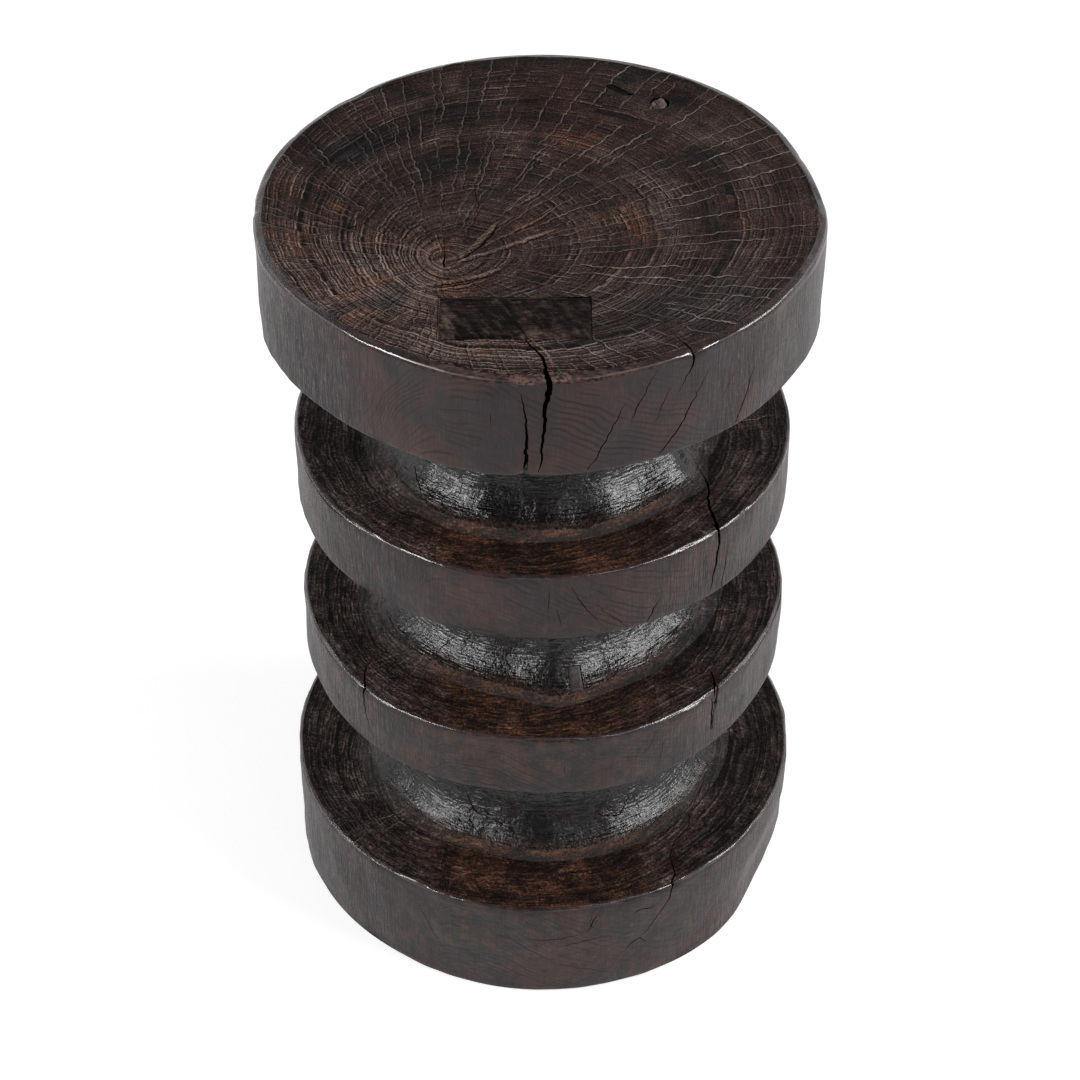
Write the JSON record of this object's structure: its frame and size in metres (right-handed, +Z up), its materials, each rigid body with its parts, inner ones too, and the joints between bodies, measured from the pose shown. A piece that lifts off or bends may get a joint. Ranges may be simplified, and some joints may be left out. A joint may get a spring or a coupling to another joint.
{
  "type": "side table",
  "caption": "Round side table carved from one dark log: stacked thick discs joined by deep coved waists, with a cracked end-grain top.",
  "frame": {"origin": "centre of the underside, on the floor", "axes": "+Z up along the log, -Y towards the viewer's side, where the key and the widest check are, +X to the right"},
  "size_m": [0.364, 0.364, 0.552],
  "materials": {
    "log_wood": "oiled dark hardwood, dull end grain, satin rims, burnished coves",
    "key_wood": "oiled darker hardwood, long grain",
    "knot_wood": "dry grey-brown branch wood",
    "bark_fill": "smooth dark bark and wax",
    "patch_wood": "oiled and burnished hardwood"
  },
  "bodies": {
    "root": {"carved_log": "log_wood", "check_key": "key_wood", "knot_plug": "knot_wood", "bark_fill": "bark_fill", "waist_patch": "patch_wood"}
  },
  "joints": []
}
